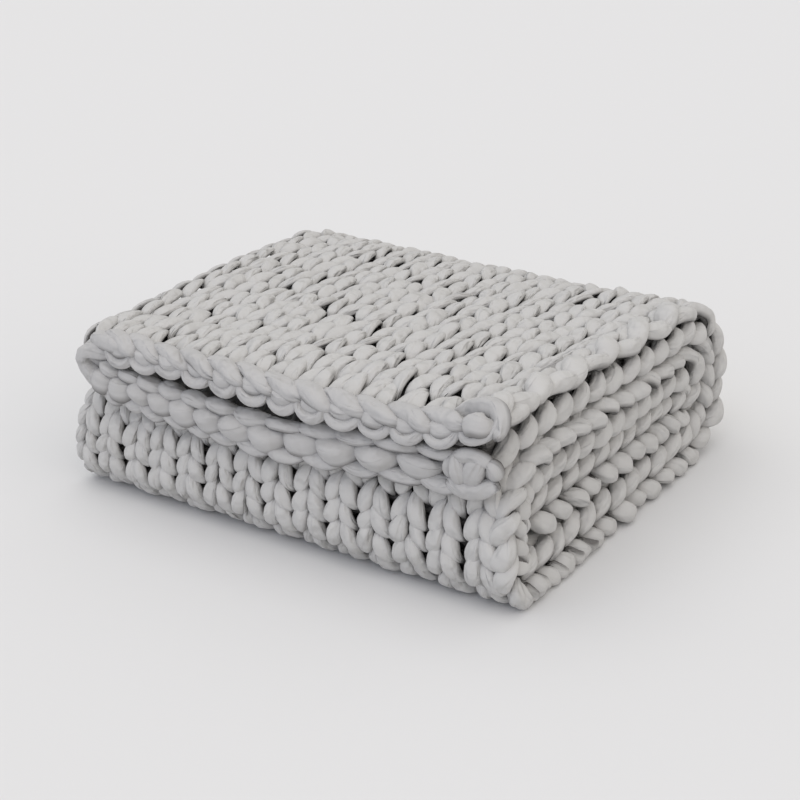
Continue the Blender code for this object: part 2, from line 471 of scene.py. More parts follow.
@dataclass
class YarnPiece:
    """One piece of the blanket: all its strands joined into one mesh."""

    name: str
    cloth: FoldedCloth
    sides: int = 8
    square: float = 0.60  # 1 for round yarn, less for yarn that is pressed square
    uneven: Unevenness = Unevenness()
    grain_round: float = 0.009  # the yarn's usual half width, round which the finish is laid
    grain_step: float = 0.37  # metres by which it moves on from strand to strand
    # Painted shade on the side that is turned into the cloth: how fast it deepens, and how dark it gets
    # at most.
    hidden: float = 1.5  # how fast the side that is turned in goes into the shade
    most_hidden: float = 0.9
    # What has been added so far, one array for each lot of strands.
    points: list[Array] = field(default_factory=list)
    grains: list[Array] = field(default_factory=list)
    pinches_and_shades: list[Array] = field(default_factory=list)
    loops: list[Array] = field(default_factory=list)
    totals: list[Array] = field(default_factory=list)
    count: int = 0  # points

    @property
    def turn(self) -> Array:
        """Where the corners of a ring lie round it, radians."""
        return 2 * math.pi * (np.arange(self.sides) + 0.5) / self.sides

    def add(self, strands: Strands) -> None:
        """Give the strands their thickness and add them to the piece.

        Args:
            strands: where they run and how thick they are.
        """
        centre = self.cloth.world(strands.wale, strands.row, strands.out)
        source = np.random.default_rng([ord(letter) for letter in self.name] + [self.count])
        drift = [self.uneven.drift(source, *centre.shape[:2]) for _ in range(5)]
        centre = centre + self.uneven.stray * np.stack(drift[:3], axis=-1)
        beside, up = self._ways(strands, centre)
        wide, thick = self._section(strands, source, drift[3], drift[4])
        ring = wide[..., None] * beside[:, :, None, :] + thick[..., None] * up[:, :, None, :]
        points = centre[:, :, None, :] + ring
        points[..., 2] = np.maximum(points[..., 2], 0.0)  # what lies on the floor is flattened
        self.points.append(points.reshape(-1, 3))
        self.grains.append(self._grain(centre).reshape(-1, 3))
        self.pinches_and_shades.append(self._pinch_and_shade(strands).reshape(-1))
        self._join(*centre.shape[:2])

    def _ways(self, strands: Strands, centre: Array) -> tuple[Array, Array]:
        """Find the two ways in which each ring is wide and thick.

        Args:
            strands: the strands, with the way their flat sides turn.
            centre: the rings' middles.

        Returns:
            The way beside the yarn and the way up from its flat side, for each ring.
        """
        places = (strands.wale, strands.row, strands.out)
        ahead = self.cloth.world(*(p + s for p, s in zip(places, strands.facing.value)))
        behind = self.cloth.world(*(p - s for p, s in zip(places, strands.facing.value)))
        up = unit(ahead - behind)
        tangent = unit(np.gradient(centre, axis=1))
        up = unit(up - tangent * np.sum(up * tangent, axis=-1, keepdims=True))
        return np.cross(up, tangent), up

    def _section(
        self, strands: Strands, source: np.random.Generator, turned: Array, swollen: Array
    ) -> tuple[Array, Array]:
        """Work out the yarn's uneven, slightly square and twisted section.

        Args:
            strands: the strands, with their widths and thicknesses.
            source: where the random values come from.
            turned: how far each ring is turned, -1 to 1.
            swollen: how full each ring is, -1 to 1.

        Returns:
            How far each corner lies beside and above its ring's middle.
        """
        across, over = (
            np.sign(f) * np.abs(f) ** self.square for f in (np.cos(self.turn), np.sin(self.turn))
        )
        filling = 1 + self.uneven.lumps * source.uniform(-1, 1, (*turned.shape, self.sides))
        filling = filling * (1 + self.uneven.swell * swollen[..., None])
        wide = filling * strands.wide[..., None] * across
        thick = filling * strands.thick[..., None] * over
        twist = self.uneven.twist * turned[..., None]
        return (
            wide * np.cos(twist) - thick * np.sin(twist),
            wide * np.sin(twist) + thick * np.cos(twist),
        )

    def _grain(self, centre: Array) -> Array:
        """Lay out the material's own coordinates: round the yarn, and along it.

        Args:
            centre: the rings' middles.

        Returns:
            One place for each corner, metres.
        """
        lengths = np.linalg.norm(np.diff(centre, axis=1), axis=-1)
        along = np.concatenate([np.zeros((len(centre), 1)), np.cumsum(lengths, axis=1)], axis=1)
        along = along + np.arange(len(centre))[:, None] * self.grain_step
        grain = np.empty((*along.shape, self.sides, 3))
        grain[..., 0] = np.cos(self.turn) * self.grain_round
        grain[..., 1] = np.sin(self.turn) * self.grain_round
        grain[..., 2] = along[..., None]
        return grain

    def _pinch_and_shade(self, strands: Strands) -> Array:
        """Tell how much the yarn is drawn tight, and how much painted shade each corner gets.

        Args:
            strands: the strands, with their widths and their shaded side.

        Returns:
            Values from 0 to 1.
        """
        # The colour darkens with this value: painted shade on the drawn-in ends, the deep rings and the
        # side turned into the cloth.
        narrow = 1 - strands.wide / strands.wide.max()
        below = -self.hidden * strands.shaded * np.sin(self.turn)
        below = np.clip(below, 0, self.most_hidden)
        return np.maximum(np.maximum(narrow, strands.deep)[..., None], below)

    def _join(self, strand_count: int, rings: int) -> None:
        """Join the rings of the strands just added with the faces of a closed tube.

        Args:
            strand_count: how many strands were added.
            rings: how many rings each has.
        """
        faces = tube_faces(rings, self.sides)
        corners = np.array([corner for face in faces for corner in face])
        totals = np.array([len(face) for face in faces])
        base = self.count + np.arange(strand_count) * rings * self.sides
        self.loops.append((base[:, None] + corners[None, :]).reshape(-1))
        self.totals.append(np.tile(totals, strand_count))
        self.count += strand_count * rings * self.sides

    def build(self, finish: bpy.types.Material, smoothing: int) -> bpy.types.Object:
        """Join the strands into one mesh and dress it.

        Args:
            finish: the yarn's material.
            smoothing: how often the facets are divided to round them.

        Returns:
            The piece, linked to the scene.
        """
        points, loops = np.concatenate(self.points), np.concatenate(self.loops)
        totals = np.concatenate(self.totals)
        mesh = bpy.data.meshes.new(self.name)
        mesh.vertices.add(len(points))
        mesh.vertices.foreach_set("co", points.astype(np.float32).ravel())
        mesh.loops.add(len(loops))
        mesh.loops.foreach_set("vertex_index", loops.astype(np.int32))
        mesh.polygons.add(len(totals))
        starts = np.concatenate([[0], np.cumsum(totals)[:-1]])
        mesh.polygons.foreach_set("loop_start", starts.astype(np.int32))
        mesh.update(calc_edges=True)
        mesh.validate()
        grain = mesh.attributes.new("grain", "FLOAT_VECTOR", "POINT")
        grain.data.foreach_set("vector", np.concatenate(self.grains).astype(np.float32).ravel())
        # The tightness and the painted shade go to the material together, as one attribute.
        pinch_and_shade = mesh.attributes.new("pinch_and_shade", "FLOAT", "POINT")
        pinch_and_shade.data.foreach_set("value", np.concatenate(self.pinches_and_shades).astype(np.float32))
        mesh.shade_smooth()
        mesh.materials.append(finish)
        piece = bpy.data.objects.new(self.name, mesh)
        bpy.context.collection.objects.link(piece)
        if smoothing:
            rounding = piece.modifiers.new("rounding", "SUBSURF")
            rounding.levels = rounding.render_levels = smoothing
        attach(piece, "root")
        return piece


# -------------------------------------------------------------------------------- the stitches


class LoopRing(NamedTuple):
    """One ring of a loop of yarn, from the middle of its head to the middle of the next head."""

    place: str
    across: float  # wales from the first head
    along: float  # rows towards the head
    out: float  # metres towards the knit face
    wide: float  # half its width, metres
    thick: float  # half its thickness, metres


# Two full leaves show, its legs. Its head and foot pass behind the rows next to it.
LOOP = (
    LoopRing("head", 0.00, 1.00, -0.0135, 0.0050, 0.0044),
    LoopRing("right shoulder", 0.49, 0.90, -0.0095, 0.0012, 0.0022),
    LoopRing("upper end of the right leg", 0.395, 0.62, 0.0020, 0.0050, 0.0056),
    LoopRing("upper right leg", 0.272, 0.27, 0.0060, 0.0093, 0.0076),
    LoopRing("lower right leg", 0.205, -0.17, 0.0066, 0.0092, 0.0076),
    LoopRing("lower end of the right leg", 0.122, -0.60, 0.0050, 0.0054, 0.0062),
    LoopRing("right tip", 0.08, -0.93, -0.0040, 0.0010, 0.0022),
    LoopRing("foot", 0.50, -1.03, -0.0140, 0.0050, 0.0044),
    LoopRing("left tip", 0.95, -0.90, -0.0050, 0.0012, 0.0022),
    LoopRing("lower end of the left leg", 0.895, -0.60, 0.0040, 0.0056, 0.0062),
    LoopRing("lower left leg", 0.805, -0.19, 0.0060, 0.0091, 0.0076),
    LoopRing("upper left leg", 0.740, 0.24, 0.0054, 0.0093, 0.0076),
    LoopRing("upper end of the left leg", 0.625, 0.57, 0.0018, 0.0052, 0.0056),
    LoopRing("left shoulder", 0.54, 0.84, -0.0095, 0.0012, 0.0022),
)


@dataclass(frozen=True)
class Stitch:
    """The loop that is repeated all over the cloth."""

    wander: float = 0.045  # how far a leg strays across, wales
    stagger: float = 0.130  # how far it strays along, rows
    leg_rings: int = 7  # from one stray to the next, half a loop
    depth: float = 0.0115  # how far in the yarn lies quite in the shade, metres
    flat: float = 1.0  # the yarn's thickness as a share of the loop's own
    tail_rings: int = 4  # in which a row's yarn thins out at its two ends
    tail: float = 0.3  # how much of its thickness it keeps there

    @staticmethod
    def line(start: int, end: int) -> Array:
        """String loops together from wale to wale, with half a loop over each selvedge.

        Args:
            start: the whole wale at which the row's yarn starts.
            end: the whole wale at which it ends.

        Returns:
            One row for each ring, with the numbers of a loop's ring.
        """
        loop = np.array([ring[1:] for ring in LOOP])
        foot = [ring.place for ring in LOOP].index("foot")
        parts = [loop + [number + 0.5, 0, 0, 0, 0] for number in range(start, end)]
        parts.append(loop[:1] + [end + 0.5, 0, 0, 0, 0])
        if start == 0:
            parts.insert(0, loop[foot:] + [-0.5, 0, 0, 0, 0])
        if end == 2 * WALES - 1:
            parts.append(loop[1 : foot + 1] + [end + 0.5, 0, 0, 0, 0])
        return np.vstack(parts)

    def rows(self, cloth: FoldedCloth, rows: range, wales: tuple[int, int]) -> Strands:
        """Lay rows of stitches.

        Args:
            cloth: the cloth they are part of.
            rows: the rows to lay.
            wales: the whole wales at which the strands start and end.

        Returns:
            One strand for each row.
        """
        run, along, out, wide, thick = self.line(*wales).T
        source = np.random.default_rng((rows.start, wales[0]))
        uneven = Unevenness(every=self.leg_rings)
        push, shift = (uneven.drift(source, len(rows), len(run)) for _ in range(2))
        reach = np.abs(run - WALES) / WALES
        pitch = cloth.left_pitch + (cloth.right_pitch - cloth.left_pitch) * reach
        index = np.arange(len(run))
        tails = np.minimum(index, index[::-1]) / self.tail_rings + self.tail
        ones = np.ones((len(rows), 1))
        full = np.clip(tails, 0, 1) * pitch / LOOP_PITCH * ones
        return Strands(
            run + self.wander * push,
            np.array(rows, float)[:, None] - along + self.stagger * shift,
            out * ones,
            wide * full,
            thick * full * self.flat,
            # painted shade, fullest on the rings that lie furthest in
            deep=np.clip(-out / self.depth, 0, 1) * ones,
            shaded=1.0,
        )


# ----------------------------------------------------------------------------------- the edges


def smooth_beads(beads: tuple[Bead, ...], rings: int) -> Array:
    """Carry a short table of rings on to an even, smooth line.

    Args:
        beads: the rings that are given.
        rings: how many rings the line gets.

    Returns:
        One row for each ring, with the columns of a bead.
    """
    given = np.array(beads)
    at = np.linspace(0, len(given) - 1, rings)
    low = np.clip(np.floor(at).astype(int), 0, len(given) - 2)
    share = (at - low)[:, None]
    before, after = given[np.maximum(low - 1, 0)], given[np.minimum(low + 2, len(given) - 1)]
    here, there = given[low], given[low + 1]
    return 0.5 * (
        2 * here
        + (there - before) * share
        + (2 * before - 5 * here + 4 * there - after) * share**2
        + (3 * here - before - 3 * there + after) * share**3
    )


# One link of the rope that is cast over the upper edge.
CHAIN_LINK = (
    Bead(0.000, -0.86, 0.0130, 0.0030, 0.0030),
    Bead(0.001, -0.52, 0.0140, 0.0078, 0.0070),
    Bead(0.005, -0.12, 0.0135, 0.0102, 0.0088),
    Bead(0.010, 0.24, 0.0120, 0.0100, 0.0086),
    Bead(0.014, 0.52, 0.0090, 0.0074, 0.0068),
    Bead(0.011, 0.80, 0.0010, 0.0026, 0.0030),
)
# The round stitch that shows inside each loop below the rope.
EDGE_BLOB = (
    Bead(0.002, -0.42, 0.0060, 0.0045, 0.0055),
    Bead(0.009, -0.26, 0.0045, 0.0080, 0.0086),
    Bead(0.012, 0.00, 0.0035, 0.0088, 0.0092),
    Bead(0.009, 0.26, 0.0045, 0.0080, 0.0086),
    Bead(0.002, 0.42, 0.0060, 0.0045, 0.0055),
)
# The loop that hangs below the rope and goes round that stitch.
EDGE_BAND = (
    Bead(0.004, -0.52, 0.0110, 0.0030, 0.0035),
    Bead(0.011, -0.50, 0.0035, 0.0044, 0.0055),
    Bead(0.017, -0.32, -0.0038, 0.0056, 0.0068),
    Bead(0.019, 0.00, -0.0066, 0.0060, 0.0072),
    Bead(0.017, 0.32, -0.0038, 0.0056, 0.0068),
    Bead(0.011, 0.50, 0.0035, 0.0044, 0.0055),
    Bead(0.004, 0.52, 0.0110, 0.0030, 0.0035),
)
# The long leaf under each bulge of the lower edge.
LOWER_LEAF = (
    Bead(0.006, -0.66, -0.0130, 0.0030, 0.0030),
    Bead(0.013, -0.38, -0.0160, 0.0078, 0.0066),
    Bead(0.015, 0.00, -0.0168, 0.0092, 0.0074),
    Bead(0.013, 0.34, -0.0150, 0.0080, 0.0066),
    Bead(0.008, 0.66, -0.0110, 0.0030, 0.0035),
)
# The plump bulges of the lower edge.
LOWER_BLOB = (
    Bead(0.004, -0.53, 0.0010, 0.0030, 0.0050),
    Bead(0.016, -0.38, 0.0010, 0.0094, 0.0122),
    Bead(0.022, 0.00, 0.0005, 0.0116, 0.0150),
    Bead(0.016, 0.38, 0.0010, 0.0094, 0.0122),
    Bead(0.004, 0.53, 0.0010, 0.0030, 0.0050),
)
# The flat rope above those bulges.
LOWER_CHAIN = (
    Bead(0.016, -0.62, 0.0060, 0.0030, 0.0030),
    Bead(0.021, -0.36, 0.0115, 0.0075, 0.0065),
    Bead(0.023, 0.00, 0.0145, 0.0090, 0.0075),
    Bead(0.023, 0.36, 0.0155, 0.0085, 0.0070),
    Bead(0.021, 0.70, 0.0140, 0.0030, 0.0030),
)
# The end of the yarn, stuffed into the last loop at the right corner.
CORNER_KNOT = (
    Bead(0.006, 27.72, 0.0080, 0.0050, 0.0050),
    Bead(0.013, 27.84, 0.0065, 0.0105, 0.0100),
    Bead(0.015, 28.00, 0.0055, 0.0118, 0.0112),
    Bead(0.013, 28.16, 0.0045, 0.0105, 0.0100),
    Bead(0.006, 28.28, 0.0030, 0.0050, 0.0050),
)
# At the lengthwise fold the upper edge turns over into the lower one in three big loops.
FOLD_LINK = Curl((0.004, 15.70, -0.003), (0.005, 1.08, 0.002), (0.006, 0.0, 0.012), 180, -180, 0.0094)
FOLD_TURN = Curl((0.008, 13.65, 0.003), (-0.007, 1.95, -0.012), (0.010, 0.0, 0.000), 0, 180, 0.0122)
FOLD_HEART = Curl((-0.006, 13.90, -0.004), (0.0, 1.30, -0.004), (0.010, 0.0, -0.004), 0, 180, 0.0140)
# The last loop of the upper edge curls round the right corner.
CORNER_CURL = Curl((0.010, 27.62, -0.003), (0.002, 0.98, 0.003), (-0.025, 0.0, 0.012), 150, -172, 0.0108)
# The knot at the lower edge's right end: a ring of four loops and two leaves inside it.
END_MIDDLE = (0.017, 0.15, -0.005)
END_LEVEL = (0.0, 0.62, 0.0)
END_UPRIGHT = (0.003, 0.0, -0.0165)
END_RING = (
    Curl(END_MIDDLE, END_LEVEL, END_UPRIGHT, 20, 143, 0.0088),
    Curl(END_MIDDLE, END_LEVEL, END_UPRIGHT, 51, -112, 0.0082),
    Curl(END_MIDDLE, END_LEVEL, END_UPRIGHT, 132, 108, 0.0088),
    Curl((0.027, 0.20, -0.005), (0.0, 1.05, 0.0), (0.003, 0.0, -0.0165), 310, -95, 0.0098),
)
END_HEART = (
    Curl((0.014, 0.42, -0.005), (0.009, 0.0, 0.0), (0.0, 0.06, -0.014), 90, -180, 0.0100),
    Curl((0.014, -0.02, -0.005), (0.008, 0.0, 0.0), (0.0, -0.16, -0.013), 90, -180, 0.0098),
)
# The plump knot that takes in two rows of the selvedge along the top.
SELVEDGE_KNOT = (
    Bead(0.004, -0.80, -0.0080, 0.0045, 0.0045),
    Bead(0.008, -0.48, 0.0010, 0.0105, 0.0090),
    Bead(0.004, -0.05, 0.0075, 0.0138, 0.0105),
    Bead(-0.004, 0.38, 0.0075, 0.0105, 0.0088),
    Bead(-0.012, 0.75, 0.0010, 0.0045, 0.0045),
)
# The leaf that comes out of each such knot.
SELVEDGE_LEAF = (
    Bead(-0.002, 0.05, -0.0020, 0.0035, 0.0040),
    Bead(0.005, 0.40, 0.0020, 0.0080, 0.0078),
    Bead(0.009, 0.90, 0.0010, 0.0098, 0.0090),
    Bead(0.010, 1.35, -0.0020, 0.0080, 0.0078),
    Bead(0.005, 1.80, -0.0070, 0.0035, 0.0035),
)
# The leaf that points out of the right corner.
CORNER_LEAF = (
    Bead(0.002, -0.60, -0.0060, 0.0035, 0.0035),
    Bead(0.011, -0.28, -0.0060, 0.0085, 0.0078),
    Bead(0.014, 0.15, -0.0060, 0.0096, 0.0088),
    Bead(0.012, 0.58, -0.0050, 0.0085, 0.0078),
    Bead(0.004, 0.98, -0.0050, 0.0035, 0.0035),
)
# The slanting leaf in which a row ends elsewhere, where its knit face looks up or forward.
SELVEDGE_SLANT = (
    Bead(-0.010, -0.70, -0.0100, 0.0035, 0.0035),
    Bead(-0.002, -0.38, 0.0020, 0.0085, 0.0080),
    Bead(0.004, 0.00, 0.0040, 0.0100, 0.0090),
    Bead(0.010, 0.40, 0.0010, 0.0086, 0.0080),
    Bead(0.006, 0.80, -0.0120, 0.0035, 0.0035),
)
# The finger that hooks round the edge at the other rows, where the knit face looks away.
SELVEDGE_FINGER = (
    Bead(-0.010, 0.46, -0.0090, 0.0050, 0.0050),
    Bead(0.004, 0.30, -0.0070, 0.0092, 0.0090),
    Bead(0.009, 0.00, -0.0015, 0.0104, 0.0096),
    Bead(0.008, -0.34, 0.0040, 0.0092, 0.0086),
    Bead(0.000, -0.62, 0.0060, 0.0055, 0.0055),
    Bead(-0.014, -0.70, 0.0030, 0.0030, 0.0030),
)


@dataclass(frozen=True)
class EdgeLoops:
    """The loops that finish the cloth's edges."""

    cloth: FoldedCloth
    rings: int = 10  # in each loop

    @staticmethod
    def lay(wale: Array, row: Array, line: Array, facing: Facing, lit: bool) -> Strands:
        """Lay one kind of loop.

        Args:
            wale: the wales at which the rings lie, one row for each loop.
            row: the rows at which they lie.
            line: the rings, with the columns of a bead.
            facing: which way their flat side turns.
            lit: whether that side is the one that shows; the painted shade goes on the other side.

        Returns:
            One strand for each loop.
        """
        out, wide, thick = (np.ones((len(wale), 1)) * column for column in line.T[2:])
        return Strands(wale, row, out, wide, thick, facing, shaded=1.0 if lit else -1.0)

    def bound_off(
        self,
        beads: tuple[Bead, ...],
        places: Array,
        facing: Facing,
        reach: Array | float = 1.0,
    ) -> Strands:
        """Lay one kind of loop along the bound-off edge.

        Args:
            beads: the loop's rings; past is forward of the cloth's end, along is in wales.
            places: the wales at which the loops lie.
            facing: which way their flat side turns.
            reach: how long the loops are, wales, and below 0 where the wales count down to
                the right.

        Returns:
            One strand for each place.
        """
        line = smooth_beads(beads, self.rings)
        wale = places[:, None] + np.reshape(reach, (-1, 1)) * line[:, 1]
        ahead = (self.cloth.first_row + line[:, 0]) / ROW_PITCHES[0].pitch
        row = np.ones((len(places), 1)) * -ahead
        on_upper = facing is Facing.KNIT_FACE and wale.mean() > WALES
        return self.lay(wale, row, line, facing, on_upper)

    def selvedge(
        self, beads: tuple[Bead, ...], rows: Array, outer: bool, facing: Facing
    ) -> Strands:
        """Lay one kind of loop along a selvedge.

        Args:
            beads: the loop's rings; past is outwards from the last wale.
            rows: the rows at which the loops lie.
            outer: whether it is the outer half's selvedge.
            facing: which way their flat side turns.

        Returns:
            One strand for each row.
        """
        line = smooth_beads(beads, self.rings)
        past = line[:, 0] / self.cloth.right_pitch
        wale = np.ones((len(rows), 1)) * (2 * WALES + past if outer else -past)
        lit = facing is Facing.KNIT_FACE or outer
        return self.lay(wale, rows[:, None] + line[:, 1], line, facing, lit)


# ---------------------------------------------------------------------------------- the finish


def linear(hex_colour: str) -> tuple[float, float, float, float]:
    """Turn an sRGB hex colour into the linear colour that a shader takes.

    Args:
        hex_colour: six hexadecimal digits.

    Returns:
        Red, green, blue and one for opacity.
    """
    parts = [int(hex_colour[i : i + 2], 16) / 255 for i in (0, 2, 4)]
    red, green, blue = (
        c / 12.92 if c <= 0.04045 else ((c + 0.055) / 1.055) ** 2.4 for c in parts
    )
    return red, green, blue, 1.0


def add_node(
    tree: bpy.types.NodeTree, kind: str, settings: dict | None = None, links: dict | None = None
) -> bpy.types.Node:
    """Add a node with its settings and links.

    Args:
        tree: the material's node tree.
        kind: the node's type.
        settings: its own settings by name, and the values of its inputs by index or name.
        links: the sockets that feed its inputs.

    Returns:
        The node.
    """
    node = tree.nodes.new(kind)
    for name, value in (settings or {}).items():
        if isinstance(name, int) or name in node.inputs:
            node.inputs[name].default_value = value
        else:
            setattr(node, name, value)
    for name, socket in (links or {}).items():
        tree.links.new(socket, node.inputs[name])
    return node


@dataclass(frozen=True)
class JerseyYarn:
    """Pale grey cotton jersey, sewn into a tube and stuffed."""

    # The eye sees soft, dull cloth with hardly any gloss. It is smooth where the tube is full,
    # with shallow dents and a crease here and there, and it closes into fine pleats where it is
    # drawn tight. Painted shade darkens the drawn-in ends, the deep rings and the sides turned
    # into the cloth. The stitches of the jersey itself are too fine to show and are left out.

    name: str = "cotton jersey tube yarn"
    light: str = "C0BFBD"
    shade: str = "B6B5B3"
    painted_crevice_shade: str = "4E4B49"  # painted shade: the dark grey laid where the tube is drawn tight, lies deep or is turned in
    closed: float = 0.85  # how far the painted shade goes towards that grey at its darkest
    patch: float = 111.11  # from a lighter stretch to a darker one, millimetres
    pleat: float = 4.348  # from pleat to pleat round the yarn, millimetres
    pleat_stretch: float = 0.06  # a pleat's width as a share of its length
    pleat_depth: float = 0.005  # metres
    crease: float = 11.765  # from crease to crease, millimetres
    crease_stretch: float = 0.26  # a crease's width as a share of its length
    crease_depth: float = 0.0016  # metres
    dent: float = 20.833  # from dent to dent, millimetres
    dent_depth: float = 0.010  # metres
    roughness: float = 0.86
    gloss: float = 0.25
    sheen: float = 0.10  # the fine nap of cotton jersey

    @staticmethod
    def scale(size: float) -> float:
        """Turn the real size of a pattern in millimetres into repeats a metre."""
        return 1000.0 / size

    def colour(
        self, tree: bpy.types.NodeTree, grain: bpy.types.NodeSocket, pinch_and_shade: bpy.types.NodeSocket
    ) -> bpy.types.NodeSocket:
        """Mix the greys: lighter and darker stretches, and painted shade on drawn-in, deep and turned-in
        yarn.

        Args:
            tree: the material's node tree.
            grain: places round and along the yarn, metres.
            pinch_and_shade: how tight the yarn is drawn, with its painted shade, 0 to 1.

        Returns:
            The socket that gives the colour.
        """
        tone = add_node(
            tree,
            "ShaderNodeTexNoise",
            {"Scale": self.scale(self.patch), "Detail": 2.0},
            {"Vector": grain},
        )
        cloth = add_node(
            tree,
            "ShaderNodeMix",
            {"data_type": "RGBA", 6: linear(self.shade), 7: linear(self.light)},
            {0: tone.outputs["Fac"]},
        )
        # Painted shade: the dark grey is mixed in where the yarn is drawn tight, lies deep or is turned
        # into the cloth.
        painted_shade_share = add_node(
            tree,
            "ShaderNodeMapRange",
            {"From Min": 0.40, "From Max": 0.85, "To Min": 0.0, "To Max": self.closed},
            {"Value": pinch_and_shade},
        )
        with_painted_shade = add_node(
            tree,
            "ShaderNodeMix",
            {"data_type": "RGBA", 7: linear(self.painted_crevice_shade)},
            {0: painted_shade_share.outputs["Result"], 6: cloth.outputs[2]},
        )
        return with_painted_shade.outputs[2]

    def relief(
        self, tree: bpy.types.NodeTree, grain: bpy.types.NodeSocket, pinch_and_shade: bpy.types.NodeSocket
    ) -> bpy.types.NodeSocket:
        """Press dents and creases into the cloth, and pleats where the tube is drawn tight.

        Args:
            tree: the material's node tree.
            grain: places round and along the yarn, metres.
            pinch_and_shade: how tight the yarn is drawn, with its painted shade, 0 to 1.

        Returns:
            The socket that gives the way each spot of the surface looks.
        """
        drawn_out = add_node(
            tree,
            "ShaderNodeMapping",
            {"Scale": (1.0, 1.0, self.pleat_stretch)},
            {"Vector": grain},
        )
        pleats = add_node(
            tree,
            "ShaderNodeTexNoise",
            {"Scale": self.scale(self.pleat), "Detail": 1.0, "Roughness": 0.5},
            {"Vector": drawn_out.outputs["Vector"]},
        )
        tightness = add_node(
            tree,
            "ShaderNodeMapRange",
            {"From Min": 0.30, "From Max": 0.75, "To Min": 0.04, "To Max": 1.0},
            {"Value": pinch_and_shade},
        )
        pleated = add_node(
            tree,
            "ShaderNodeMath",
            {"operation": "MULTIPLY"},
            {0: pleats.outputs["Fac"], 1: tightness.outputs["Result"]},
        )
        stretched = add_node(
            tree,
            "ShaderNodeMapping",
            {"Scale": (1.0, 1.0, self.crease_stretch)},
            {"Vector": grain},
        )
        tucks = add_node(
            tree,
            "ShaderNodeTexNoise",
            {"Scale": self.scale(self.crease), "Detail": 1.0, "Roughness": 0.4},
            {"Vector": stretched.outputs["Vector"]},
        )
        tucked = add_node(
            tree,
            "ShaderNodeMapRange",
            {"From Min": 0.50, "From Max": 0.56},
            {"Value": tucks.outputs["Fac"]},
        )
        slack = add_node(
            tree,
            "ShaderNodeTexNoise",
            {"Scale": self.scale(self.dent), "Detail": 2.0, "Roughness": 0.45},
            {"Vector": grain},
        )
        creases = add_node(
            tree,
            "ShaderNodeBump",
            {"Strength": 0.5, "Distance": self.crease_depth},
            {"Height": tucked.outputs["Result"]},
        )
        folds = add_node(
            tree,
            "ShaderNodeBump",
            {"Strength": 0.8, "Distance": self.pleat_depth},
            {"Height": pleated.outputs["Value"], "Normal": creases.outputs["Normal"]},
        )
        dents = add_node(
            tree,
            "ShaderNodeBump",
            {"Strength": 1.0, "Distance": self.dent_depth},
            {"Height": slack.outputs["Fac"], "Normal": folds.outputs["Normal"]},
        )
        return dents.outputs["Normal"]

    def material(self) -> bpy.types.Material:
        """Make the yarn's material.

        Returns:
            The material, laid out by the pieces' own grain and by their tightness and painted shade.
        """
        made = bpy.data.materials.new(self.name)
        made.use_nodes = True
        tree = made.node_tree
        grain = add_node(tree, "ShaderNodeAttribute", {"attribute_name": "grain"})
        pinch_and_shade = add_node(tree, "ShaderNodeAttribute", {"attribute_name": "pinch_and_shade"})
        sockets = (tree, grain.outputs["Vector"], pinch_and_shade.outputs["Fac"])
        shader = tree.nodes["Principled BSDF"]
        tree.links.new(self.colour(*sockets), shader.inputs["Base Color"])
        tree.links.new(self.relief(*sockets), shader.inputs["Normal"])
        shader.inputs["Roughness"].default_value = self.roughness
        shader.inputs["Specular IOR Level"].default_value = self.gloss
        shader.inputs["Sheen Weight"].default_value = self.sheen
        return made


# ---------------------------------------------------------------------------------- the studio


class SoftLight(NamedTuple):
    """One broad light of the studio."""

    name: str
    strength: float
    spread: float  # how wide it looks from the blanket, degrees
    shines: tuple[float, float, float]  # the way its light goes
    colour: str


